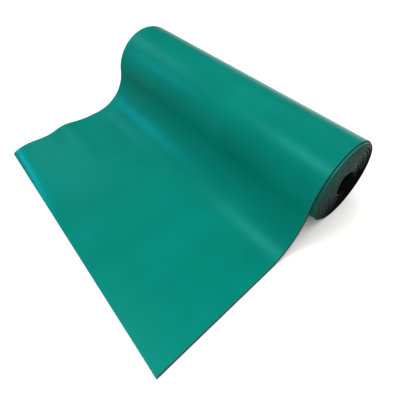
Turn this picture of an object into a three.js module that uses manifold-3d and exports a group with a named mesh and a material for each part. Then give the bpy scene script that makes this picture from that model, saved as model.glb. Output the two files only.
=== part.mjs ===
// Anti-static bench mat: a roll of two-layer rubber matting with its free end laid out flat.
// Millimetres, +Z up. The roll's axis runs along X, and the laid-out end points to -Y.
// The origin is at the centre of the bounding box, at floor level.
import * as THREE from 'three';
import * as BufferGeometryUtils from 'three/addons/utils/BufferGeometryUtils.js';
import Module from 'manifold-3d';

// Driving dimensions of the stock
const WIDTH = 600;
const BASE_THICKNESS = 1.5;
const TOP_THICKNESS = 0.5;
const ROLL_DIAMETER = 162;
const BORE_DIAMETER = 48;

// Driving dimensions of the laid-out end, seen along the roll's axis
const AXIS_TO_FREE_END = 402;
const LEAVE_ANGLE = 20;
const LIFT_SLACK = 21;
const FOOT_RADIUS = 98;

// Turns shown on the two ends of the roll
const OUTER_TURNS = 3;
const RIDGE_COUNT = 12;
const RIDGE_DEPTH = 1.2;

// Clearance in the crotch where the sheet leaves the roll, and the join inside the roll
const CROTCH_CLEARANCE = 0.3;
const JOIN_OVERLAP = 0.5;

// Facets, and how near two points are taken as one
const ARC_STEP = 5;
const TURNED_STEP = 7.5;
const SAME_PLACE = 1e-4;

// Sizes that follow from the driving dimensions
const THICKNESS = BASE_THICKNESS + TOP_THICKNESS;
const ROLL_RADIUS = ROLL_DIAMETER / 2;
const BORE_RADIUS = BORE_DIAMETER / 2;
const LIFT_RADIUS = ROLL_RADIUS + LIFT_SLACK;
const FULL_TURN = 360;
const HALF_TURN = FULL_TURN / 2;
const QUARTER_TURN = FULL_TURN / 4;
const radians = THREE.MathUtils.degToRad;

// The top surface winds in by one thickness a turn, so the roll stands on a slightly smaller radius.
const turnRadius = (turned) => ROLL_RADIUS - (THICKNESS * turned) / FULL_TURN;
const AXIS_HEIGHT = turnRadius(LEAVE_ANGLE + HALF_TURN);
const AXIS_TO_BACK = turnRadius(LEAVE_ANGLE + QUARTER_TURN);
const AXIS_Y = (AXIS_TO_FREE_END - AXIS_TO_BACK) / 2;
const FREE_END_Y = AXIS_Y - AXIS_TO_FREE_END;

// A point at an angle from straight up, positive towards the back, around a centre
const around = (centre, radius, angle) =>
  new THREE.Vector2(
    centre.x + radius * Math.sin(radians(angle)),
    centre.y + radius * Math.cos(radians(angle)),
  );

const axis = new THREE.Vector2(AXIS_Y, AXIS_HEIGHT);
const liftCentre = around(axis, -LIFT_SLACK, -LEAVE_ANGLE);

// The slack bend off the roll runs straight into the bend at the foot, where both are steepest.
const bothRadii = LIFT_RADIUS + FOOT_RADIUS;
const footCentreZ = THICKNESS + FOOT_RADIUS;
const steepest = THREE.MathUtils.radToDeg(Math.acos((footCentreZ - liftCentre.y) / bothRadii));
const footY = liftCentre.x - bothRadii * Math.sin(radians(steepest));
const footCentre = new THREE.Vector2(footY, footCentreZ);

// Even steps from one angle to another, both ends included
const angles = (from, to) => {
  const count = Math.max(1, Math.ceil(Math.abs(to - from) / ARC_STEP - 1e-6));
  return Array.from({ length: count + 1 }, (_, i) => from + ((to - from) * i) / count);
};

// The laid-out sheet at a depth below its top surface, from the roll at an angle to the free end
const laidOut = (depth, fromAngle) => [
  ...angles(fromAngle, steepest).map((a) => around(liftCentre, LIFT_RADIUS - depth, -a)),
  ...angles(HALF_TURN - steepest, HALF_TURN)
    .slice(1)
    .map((a) => around(footCentre, FOOT_RADIUS + depth, a)),
  new THREE.Vector2(FREE_END_Y, THICKNESS - depth),
];

// The crotch is where the sheet's underside has risen clear of the turn below it.
const crotchGap = (angle) => {
  const underside = around(liftCentre, LIFT_RADIUS - THICKNESS, -angle);
  return underside.distanceTo(axis) - turnRadius(FULL_TURN + LEAVE_ANGLE - angle);
};
const findCrotchAngle = () => {
  let closed = LEAVE_ANGLE;
  let open = steepest;
  while (open - closed > SAME_PLACE) {
    const middle = (closed + open) / 2;
    if (crotchGap(middle) < CROTCH_CLEARANCE) closed = middle;
    else open = middle;
  }
  return open;
};
const crotchAngle = findCrotchAngle();
const crotch = around(liftCentre, LIFT_RADIUS - THICKNESS, -crotchAngle);
const crotchTilt = THREE.MathUtils.radToDeg(Math.atan2(axis.x - crotch.x, crotch.y - axis.y));
const crotchTurn = FULL_TURN - crotchTilt;

// The outermost turn at a depth below its top surface, from where the sheet leaves to the crotch
const outerTurn = (depth) =>
  angles(-LEAVE_ANGLE, crotchTurn).map((a) => around(axis, turnRadius(a + LEAVE_ANGLE) - depth, a));

// Extrudes an outline of the side view, Y across and Z up, over the whole width
const acrossWidth = (outline, hole) => {
  const shape = new THREE.Shape(outline);
  if (hole) shape.holes.push(new THREE.Path(hole));
  const geometry = new THREE.ExtrudeGeometry(shape, { depth: WIDTH, bevelEnabled: false });
  const toSideView = new THREE.Matrix4().set(0, 0, 1, -WIDTH / 2, 1, 0, 0, 0, 0, 1, 0, 0, 0, 0, 0, 1);
  return geometry.applyMatrix4(toSideView);
};

const mergedByPosition = (geometry) => {
  geometry.deleteAttribute('normal');
  geometry.deleteAttribute('uv');
  return BufferGeometryUtils.mergeVertices(geometry, SAME_PLACE);
};

const wasm = await Module();
wasm.setup();

const toSolid = (geometry) => {
  const merged = mergedByPosition(geometry);
  return new wasm.Manifold(
    new wasm.Mesh({
      numProp: 3,
      vertProperties: new Float32Array(merged.attributes.position.array),
      triVerts: new Uint32Array(merged.index.array),
    }),
  );
};

const toGeometry = (solid) => {
  const mesh = solid.getMesh();
  const geometry = new THREE.BufferGeometry();
  geometry.setAttribute('position', new THREE.BufferAttribute(mesh.vertProperties, 3));
  geometry.setIndex(new THREE.BufferAttribute(mesh.triVerts, 1));
  geometry.computeVertexNormals();
  return geometry;
};

// The wound turns are one turned solid with its bore. Ridges on both ends show the turns.
const turnedTurns = () => {
  const outerRadius = ROLL_RADIUS - OUTER_TURNS * THICKNESS;
  const pitch = (outerRadius - BORE_RADIUS) / RIDGE_COUNT;
  const end = [new THREE.Vector2(BORE_RADIUS, WIDTH / 2 - RIDGE_DEPTH)];
  for (let ridge = 0; ridge < RIDGE_COUNT; ridge += 1) {
    const inner = BORE_RADIUS + ridge * pitch;
    end.push(new THREE.Vector2(inner + pitch / 2, WIDTH / 2));
    end.push(new THREE.Vector2(inner + pitch, WIDTH / 2 - RIDGE_DEPTH));
  }
  end.push(new THREE.Vector2(outerRadius + JOIN_OVERLAP, WIDTH / 2 - RIDGE_DEPTH));
  const otherEnd = end.map((point) => new THREE.Vector2(point.x, -point.y));
  const profile = [...otherEnd, ...end.reverse(), otherEnd[0]];
  const geometry = new THREE.LatheGeometry(profile, FULL_TURN / TURNED_STEP);
  geometry.rotateZ(-Math.PI / 2);
  geometry.translate(0, AXIS_Y, AXIS_HEIGHT);
  return { geometry, outerRadius };
};

const blackBaseLayer = () => {
  const { geometry: turned, outerRadius } = turnedTurns();
  const skinEdge = around(axis, turnRadius(crotchTurn + LEAVE_ANGLE), crotchTurn);
  const outline = [
    ...laidOut(THICKNESS, crotchAngle).reverse(),
    skinEdge,
    ...outerTurn(TOP_THICKNESS).reverse(),
    ...laidOut(TOP_THICKNESS, LEAVE_ANGLE).slice(1),
  ];
  const hole = angles(0, FULL_TURN).slice(1).map((a) => around(axis, outerRadius, a));
  const wrap = toSolid(acrossWidth(outline, hole));
  return toGeometry(wrap.add(toSolid(turned)));
};

const greenTopLayer = () => {
  const outline = [
    ...outerTurn(TOP_THICKNESS).reverse(),
    ...laidOut(TOP_THICKNESS, LEAVE_ANGLE).slice(1),
    ...laidOut(0, LEAVE_ANGLE).slice(1).reverse(),
    ...outerTurn(0),
  ];
  return mergedByPosition(acrossWidth(outline));
};

const blackRubber = new THREE.MeshStandardMaterial({ color: 0x26282a, roughness: 0.75, metalness: 0 });
const greenRubber = new THREE.MeshStandardMaterial({ color: 0x068a77, roughness: 0.5, metalness: 0 });

const piece = (name, geometry, material) => {
  const mesh = new THREE.Mesh(geometry, material);
  mesh.name = name;
  return mesh;
};

const mat = new THREE.Group();
mat.name = 'anti_static_bench_mat';
mat.add(piece('black_base_layer', blackBaseLayer(), blackRubber));
mat.add(piece('green_top_layer', greenTopLayer(), greenRubber));

export default mat;
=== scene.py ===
import math

import bpy
import numpy as np
from mathutils import Matrix, Vector


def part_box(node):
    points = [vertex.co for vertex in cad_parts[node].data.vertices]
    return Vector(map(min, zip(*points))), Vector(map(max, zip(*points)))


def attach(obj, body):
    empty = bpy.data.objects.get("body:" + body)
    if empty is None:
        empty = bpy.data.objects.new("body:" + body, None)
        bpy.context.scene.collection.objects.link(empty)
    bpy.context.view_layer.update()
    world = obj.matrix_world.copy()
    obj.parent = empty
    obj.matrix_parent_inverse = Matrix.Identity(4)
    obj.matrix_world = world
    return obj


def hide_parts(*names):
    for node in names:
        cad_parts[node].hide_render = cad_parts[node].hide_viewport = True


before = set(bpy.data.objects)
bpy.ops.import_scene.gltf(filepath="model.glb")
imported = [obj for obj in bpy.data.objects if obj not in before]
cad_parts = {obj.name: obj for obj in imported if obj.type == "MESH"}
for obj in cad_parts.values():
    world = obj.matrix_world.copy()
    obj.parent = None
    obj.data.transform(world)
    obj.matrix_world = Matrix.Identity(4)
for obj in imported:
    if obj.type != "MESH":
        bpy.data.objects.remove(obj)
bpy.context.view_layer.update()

# Driving dimensions of the mat in metres, as in the part
BASE_THICKNESS = 0.0015
TOP_THICKNESS = 0.0005
THICKNESS = BASE_THICKNESS + TOP_THICKNESS
ROLL_RADIUS = 0.081
BORE_RADIUS = 0.024
LEAVE_ANGLE = math.radians(20)
LIFT_SLACK = 0.021
LIFT_RADIUS = ROLL_RADIUS + LIFT_SLACK
FOOT_RADIUS = 0.098

# Places that the frame gives
BASE_LOW, BASE_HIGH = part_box("black_base_layer")
TOP_LOW, TOP_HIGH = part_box("green_top_layer")
HALF_WIDTH = (BASE_HIGH.x - BASE_LOW.x) / 2
FREE_END_Y = BASE_LOW.y
TURN = 2 * math.pi


def turn_radius(turned):
    """Radius of the top surface after turning this far round the roll from where the sheet leaves it"""
    return ROLL_RADIUS - THICKNESS * turned / TURN


AXIS_Y = TOP_HIGH.y - turn_radius(LEAVE_ANGLE + TURN / 4)
AXIS_Z = turn_radius(LEAVE_ANGLE + TURN / 2)

# How the real sheet differs from the plain solids
WOUND_THICKNESS = 0.00186
OUTER_SLACK = 0.0008
LAID_CUT_SLANT = 0.0018
WOUND_CUT_SLANT = 0.0005
WOUND_TURNS = (ROLL_RADIUS - BORE_RADIUS) / THICKNESS
OVALNESS = 0.0006
BUCKLE_DEPTH = 0.0007
BUCKLES_AROUND = 11
BUCKLED_BEARING = math.radians(225)
CORE_UNEVENNESS = 0.0008
TELESCOPED = 0.0030
TURN_DRIFT = 0.0006
TURN_FLUTTER = 0.0005
FINE_FLUTTER = 0.0003

# The waves of the laid-out end, each with its height, its place from the free end and its width
CURL_HEIGHT = 0.0085
CURL_RISE = 0.011
CURL_FADE = (0.03, 0.095)
HUMP_HEIGHT, HUMP_PLACE, HUMP_WIDTH = 0.0085, 0.128, 0.034
SWELL_HEIGHT, SWELL_PLACE, SWELL_WIDTH = 0.0022, 0.10, 0.05
LIFTED_EDGE_HEIGHT, LIFTED_EDGE_WIDTH = 0.0018, 0.04

# How finely the sheet is divided
SAMPLES_PER_TURN = 60
FLAT_ROWS = 56
FLAT_CROWDING = 1.5
ARC_STEP = math.radians(2.5)
COLUMNS = 19
EDGE_CROWDING = 1.25
SHARP_ANGLE = math.radians(40)


def around(centre, radius, angle):
    """Points and outward normals at angles from straight up, positive towards the back"""
    normal = np.stack([np.sin(angle), np.cos(angle)], axis=1)
    return np.asarray(centre) + np.reshape(radius, (-1, 1)) * normal, normal


def smooth(low, high, value):
    share = np.clip((value - low) / (high - low), 0, 1)
    return share * share * (3 - 2 * share)


def bump(centre, width, value):
    return np.exp(-(((value - centre) / width) ** 2))


def sheet_path():
    """Top surface of the sheet in side view, free end to bore, with its normals and the turn reached"""
    axis = np.array([AXIS_Y, AXIS_Z])
    lift_centre = axis - LIFT_SLACK * np.array([-math.sin(LEAVE_ANGLE), math.cos(LEAVE_ANGLE)])
    both_radii = LIFT_RADIUS + FOOT_RADIUS
    foot_z = THICKNESS + FOOT_RADIUS
    steepest = math.acos((foot_z - lift_centre[1]) / both_radii)
    foot_y = lift_centre[0] - both_radii * math.sin(steepest)

    flat_y = FREE_END_Y + (foot_y - FREE_END_Y) * np.linspace(0, 1, FLAT_ROWS)[:-1] ** FLAT_CROWDING
    flat = np.stack([flat_y, np.full_like(flat_y, THICKNESS)], axis=1)
    flat_normal = np.tile([0.0, 1.0], (len(flat_y), 1))

    steps = int(steepest / ARC_STEP)
    foot_angle = np.linspace(math.pi, math.pi - steepest, steps + 1)[:-1]
    foot, foot_out = around((foot_y, foot_z), FOOT_RADIUS, foot_angle)
    lift, lift_normal = around(lift_centre, LIFT_RADIUS, -np.linspace(steepest, LEAVE_ANGLE, steps))

    count = int(WOUND_TURNS * SAMPLES_PER_TURN)
    turned = np.linspace(0, WOUND_TURNS * TURN, count + 1)[1:]
    bearing = turned - LEAVE_ANGLE
    slack = OUTER_SLACK * smooth(0.8, 1.15, turned / TURN) * (1 + np.cos(bearing)) / 2
    radius = turn_radius(turned) - slack
    wound, wound_normal = around(axis, radius + ripple(radius, bearing), bearing)

    points = np.concatenate([flat, foot, lift, wound])
    normals = np.concatenate([flat_normal, -foot_out, lift_normal, wound_normal])
    laid = len(points) - len(wound)
    return points, normals, np.concatenate([np.zeros(laid), turned / TURN])


def ripple(radius, bearing):
    """The wound turns aren't quite round, and they buckle a little low on the front side"""
    depth = smooth(ROLL_RADIUS - THICKNESS, ROLL_RADIUS - 7 * THICKNESS, radius)
    core = smooth(BORE_RADIUS, BORE_RADIUS + 5 * THICKNESS, radius)
    oval = OVALNESS * np.sin(2 * bearing + 0.6)
    buckled = smooth(0.2, 0.9, np.cos(bearing - BUCKLED_BEARING))
    buckle = BUCKLE_DEPTH * np.sin(BUCKLES_AROUND * bearing + 3.0 * radius / ROLL_RADIUS) * buckled
    return depth * core * (oval + buckle) - (1 - core) * CORE_UNEVENNESS * np.sin(3 * bearing + 1.0)


def sideways(turns):
    """How far each turn stands out towards the right end of the roll"""
    telescoped = TELESCOPED * smooth(0.25, 1.0, turns)
    drift = TURN_DRIFT * np.sin(turns * 1.9 + 0.4) + TURN_DRIFT * np.sin(turns * 4.3 + 1.7)
    flutter = TURN_FLUTTER * np.sin(turns * 9.1) + FINE_FLUTTER * np.sin(turns * 23.7 + 0.8)
    return telescoped + (drift + flutter) * smooth(1.0, 2.0, turns)


def lie(x, y):
    """Height of the gentle waves that the laid-out end keeps from having been wound"""
    from_end = y - FREE_END_Y
    curl_rise = (1 - np.exp(-from_end / CURL_RISE)) * (1 - smooth(*CURL_FADE, from_end))
    curl = CURL_HEIGHT * curl_rise * smooth(0.10, -HALF_WIDTH, x) ** 1.3
    hump = HUMP_HEIGHT * bump(HUMP_PLACE, HUMP_WIDTH, from_end) * smooth(-0.06, -HALF_WIDTH, x) ** 1.4
    swell = SWELL_HEIGHT * bump(SWELL_PLACE, SWELL_WIDTH, from_end) * smooth(0.05, -HALF_WIDTH, x)
    lifted_edge = LIFTED_EDGE_HEIGHT * smooth(HALF_WIDTH - LIFTED_EDGE_WIDTH, HALF_WIDTH, x)
    return curl + hump + swell + lifted_edge


def across():
    """Places across the width, closer together towards both edges"""
    share = np.linspace(-1, 1, COLUMNS)
    return np.sign(share) * (1 - (1 - np.abs(share)) ** EDGE_CROWDING) * HALF_WIDTH


def build_layer(name, outer_depth, inner_depth, wound_inner_depth, face_material, edge_material):
    """One layer of the sheet as a closed mesh from the free end to the bore"""
    points, normals, turns = sheet_path()
    x = across()
    rows, columns = len(points), len(x)
    inner = np.where(turns > 0.9, wound_inner_depth, inner_depth)
    layers = []
    for depth in (np.full(rows, outer_depth), inner):
        side = points - normals * depth[:, None]
        slant = LAID_CUT_SLANT + (WOUND_CUT_SLANT - LAID_CUT_SLANT) * smooth(0, 0.4, turns)
        inset = slant * (1 - depth / THICKNESS) / HALF_WIDTH
        grid_x = x[None, :] * (1 - inset[:, None]) + sideways(turns)[:, None]
        grid_y = np.repeat(side[:, :1], columns, axis=1)
        grid_z = np.repeat(side[:, 1:], columns, axis=1)
        flat = smooth(AXIS_Y - 0.16, AXIS_Y - 0.24, points[:, :1]) * (turns[:, None] == 0)
        grid_z = grid_z + flat * lie(grid_x, np.repeat(points[:, :1], columns, axis=1))
        layers.append(np.stack([grid_x, grid_y, grid_z], axis=2))
    verts = np.concatenate([layer.reshape(-1, 3) for layer in layers])

    index = np.arange(rows * columns).reshape(rows, columns)
    below = index + rows * columns

    def quads(a, b, c, d):
        return np.stack([a, b, c, d], axis=-1).reshape(-1, 4)

    both_sides = np.concatenate([
        quads(index[:-1, :-1], index[:-1, 1:], index[1:, 1:], index[1:, :-1]),
        quads(below[:-1, :-1], below[1:, :-1], below[1:, 1:], below[:-1, 1:]),
    ])
    cut_edges = np.concatenate([
        quads(index[:-1, 0], index[1:, 0], below[1:, 0], below[:-1, 0]),
        quads(index[:-1, -1], below[:-1, -1], below[1:, -1], index[1:, -1]),
        quads(index[0, :-1], below[0, :-1], below[0, 1:], index[0, 1:]),
        quads(index[-1, :-1], index[-1, 1:], below[-1, 1:], below[-1, :-1]),
    ])
    faces = np.concatenate([both_sides, cut_edges])
    mesh = bpy.data.meshes.new(name)
    mesh.from_pydata(verts.tolist(), [], faces.tolist())
    is_cut = np.arange(len(faces)) >= len(both_sides)
    mesh.polygons.foreach_set("material_index", is_cut.astype(np.int32))
    mesh.polygons.foreach_set("use_smooth", np.ones(len(faces), bool))
    mesh.set_sharp_from_angle(angle=SHARP_ANGLE)
    mesh.materials.append(face_material)
    mesh.materials.append(edge_material)
    mesh.validate()
    piece = bpy.data.objects.new(name, mesh)
    bpy.context.scene.collection.objects.link(piece)
    return piece


def rubber(name, dark, light, tint, roughness, specular, grain_height):
    """Rubber with soft cloudiness, faint marks along the sheet and a fine grain"""
    material = bpy.data.materials.new(name)
    material.use_nodes = True
    nodes, link = material.node_tree.nodes, material.node_tree.links.new
    shader = nodes["Principled BSDF"]
    place = nodes.new("ShaderNodeTexCoord").outputs["Object"]

    def noise(scale, detail, stretch=None):
        texture = nodes.new("ShaderNodeTexNoise")
        texture.inputs["Scale"].default_value = scale
        texture.inputs["Detail"].default_value = detail
        if stretch is None:
            link(place, texture.inputs["Vector"])
        else:
            mapping = nodes.new("ShaderNodeMapping")
            mapping.inputs["Scale"].default_value = stretch
            link(place, mapping.inputs["Vector"])
            link(mapping.outputs["Vector"], texture.inputs["Vector"])
        return texture.outputs["Fac"]

    def math_node(operation, first, second):
        node = nodes.new("ShaderNodeMath")
        node.operation = operation
        link(first, node.inputs[0])
        if isinstance(second, float):
            node.inputs[1].default_value = second
        else:
            link(second, node.inputs[1])
        return node.outputs["Value"]

    cloud = noise(9.0, 3.0)
    marks = noise(24.0, 4.0, (1.0, 0.12, 0.12))
    grain = noise(1500.0, 2.0)
    broad = math_node("ADD", math_node("MULTIPLY", cloud, 0.5), math_node("MULTIPLY", marks, 0.2))
    shade = math_node("ADD", broad, math_node("MULTIPLY", grain, 0.3))
    ramp = nodes.new("ShaderNodeValToRGB")
    ramp.color_ramp.elements[0].position = 0.35
    ramp.color_ramp.elements[0].color = (*dark, 1)
    ramp.color_ramp.elements[1].position = 0.65
    ramp.color_ramp.elements[1].color = (*light, 1)
    link(shade, ramp.inputs["Fac"])
    link(ramp.outputs["Color"], shader.inputs["Base Color"])

    polish = nodes.new("ShaderNodeMapRange")
    polish.inputs["To Min"].default_value = roughness - 0.05
    polish.inputs["To Max"].default_value = roughness + 0.05
    link(cloud, polish.inputs["Value"])
    link(polish.outputs["Result"], shader.inputs["Roughness"])
    shader.inputs["Specular IOR Level"].default_value = specular
    shader.inputs["Specular Tint"].default_value = (*tint, 1)

    bump_node = nodes.new("ShaderNodeBump")
    bump_node.inputs["Strength"].default_value = 0.5
    bump_node.inputs["Distance"].default_value = grain_height
    link(grain, bump_node.inputs["Height"])
    link(bump_node.outputs["Normal"], shader.inputs["Normal"])
    return material


# Each rubber has a dark and a light tone, a tint of its gloss, roughness, specular level and grain height
GREEN_GLOSS = (0.12, 1.0, 0.9)
GREY_GLOSS = (1.0, 1.0, 1.0)
green = rubber("green_rubber", (0.0, 0.142, 0.111), (0.0, 0.174, 0.137), GREEN_GLOSS, 0.34, 0.2, 0.00003)
green_cut = rubber(
    "green_rubber_cut", (0.02, 0.080, 0.066), (0.05, 0.14, 0.118), GREEN_GLOSS, 0.7, 0.1, 0.00008
)
black = rubber(
    "black_rubber", (0.0035, 0.0038, 0.0037), (0.0095, 0.0105, 0.0102), GREY_GLOSS, 0.55, 0.2, 0.00006
)
black_cut = rubber(
    "black_rubber_cut", (0.010, 0.0115, 0.011), (0.030, 0.034, 0.032), GREY_GLOSS, 0.7, 0.15, 0.0001
)
green_layer = build_layer("green_rubber_layer", 0.0, TOP_THICKNESS, TOP_THICKNESS, green, green_cut)
black_layer = build_layer("black_rubber_layer", TOP_THICKNESS, THICKNESS, WOUND_THICKNESS, black, black_cut)
for piece, node, slot in (
    (green_layer, "green_top_layer", "green_rubber"),
    (black_layer, "black_base_layer", "black_rubber"),
):
    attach(piece, "root")
    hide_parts(node)

# Camera at the photograph's viewing angle
AZIMUTH = math.radians(51.3)
ELEVATION = math.radians(47.2)
CAMERA_ROLL = math.radians(-4.4)
DISTANCE = 0.716
FOCAL_SHARE = 327 / 400
PHOTO_SHIFT = (25 / 400, -40 / 400)
SENSOR = 36.0
TARGET = Vector((0.0621, AXIS_Y - 0.0633, 0.0))

camera_data = bpy.data.cameras.new("camera")
camera = bpy.data.objects.new("camera", camera_data)
bpy.context.scene.collection.objects.link(camera)
back = Vector((
    math.sin(AZIMUTH) * math.cos(ELEVATION),
    -math.cos(AZIMUTH) * math.cos(ELEVATION),
    math.sin(ELEVATION),
))
camera_data.sensor_width = SENSOR
camera_data.lens = SENSOR * FOCAL_SHARE
camera_data.shift_x = -PHOTO_SHIFT[0]
camera_data.shift_y = PHOTO_SHIFT[1]
camera.rotation_mode = "QUATERNION"
turn = (-back).to_track_quat("-Z", "Y").to_matrix().to_4x4() @ Matrix.Rotation(CAMERA_ROLL, 4, "Z")
camera.rotation_quaternion = turn.to_quaternion()
camera.location = TARGET + back * DISTANCE
bpy.context.scene.camera = camera

# Floor and light
FLOOR = 6.0
FLOOR_DROP = 0.0003
floor_material = bpy.data.materials.new("floor_paint")
floor_material.use_nodes = True
floor_shader = floor_material.node_tree.nodes["Principled BSDF"]
floor_shader.inputs["Base Color"].default_value = (0.93, 0.93, 0.92, 1)
floor_shader.inputs["Roughness"].default_value = 0.9
floor_shader.inputs["Specular IOR Level"].default_value = 0.1


def floor_part(name, near, far):
    """The floor between two places from front to back"""
    mesh = bpy.data.meshes.new(name)
    corners = [(-FLOOR, near, 0), (FLOOR, near, 0), (FLOOR, far, 0), (-FLOOR, far, 0)]
    mesh.from_pydata(corners, [], [(0, 1, 2, 3)])
    mesh.materials.append(floor_material)
    part = bpy.data.objects.new(name, mesh)
    part.location.z = -FLOOR_DROP
    bpy.context.scene.collection.objects.link(part)
    return part


# The rubber mirrors the floor behind the roll and not the one in front
floor_front = floor_part("floor_front", -FLOOR, AXIS_Y)
floor_front.visible_glossy = False
floor_part("floor_behind", AXIS_Y, FLOOR)


def area_light(name, location, target, size, power, colour=(1, 1, 1)):
    data = bpy.data.lights.new(name, "AREA")
    data.shape = "RECTANGLE"
    data.size, data.size_y = size
    data.energy = power
    data.color = colour
    light = bpy.data.objects.new(name, data)
    light.location = location
    light.rotation_mode = "QUATERNION"
    light.rotation_quaternion = (Vector(target) - Vector(location)).to_track_quat("-Z", "Y")
    bpy.context.scene.collection.objects.link(light)
    return light


overhead = area_light("overhead", (0.0, 0.75, 2.3), (0, 0.1, 0), (3.0, 3.0), 58)
overhead.visible_glossy = False
area_light("front_softbox", (-0.25, -0.59, 1.4), (0.2, 0.05, 0.05), (0.5, 0.25), 5.0)
front_gleam = area_light("front_gleam", (-0.25, -0.59, 1.42), (0.2, 0.05, 0.05), (0.5, 0.25), 3.5)
front_gleam.visible_diffuse = False
area_light("left_softbox", (-1.35, -0.05, 1.0), (-0.2, -0.1, 0), (0.4, 0.3), 1.3, (0.45, 0.82, 1.0))
edge_softbox = area_light(
    "edge_softbox", (-1.12, -0.64, 0.66), (-0.2, -0.15, 0.0), (0.3, 0.3), 0.24, (0.02, 0.6, 1.0)
)
edge_softbox.visible_diffuse = False
edge_softbox.data.spread = math.radians(32)
right_fill = area_light("right_fill", (1.5, 0.2, 0.7), (0.35, 0.1, 0), (0.7, 0.7), 2.5)
right_fill.visible_glossy = False

world = bpy.data.worlds.new("studio")
bpy.context.scene.world = world
world.use_nodes = True
world.node_tree.nodes["Background"].inputs["Color"].default_value = (1.0, 0.985, 0.95, 1)
world.node_tree.nodes["Background"].inputs["Strength"].default_value = 0.75
world.cycles_visibility.glossy = False
bpy.context.scene.view_settings.view_transform = "Standard"
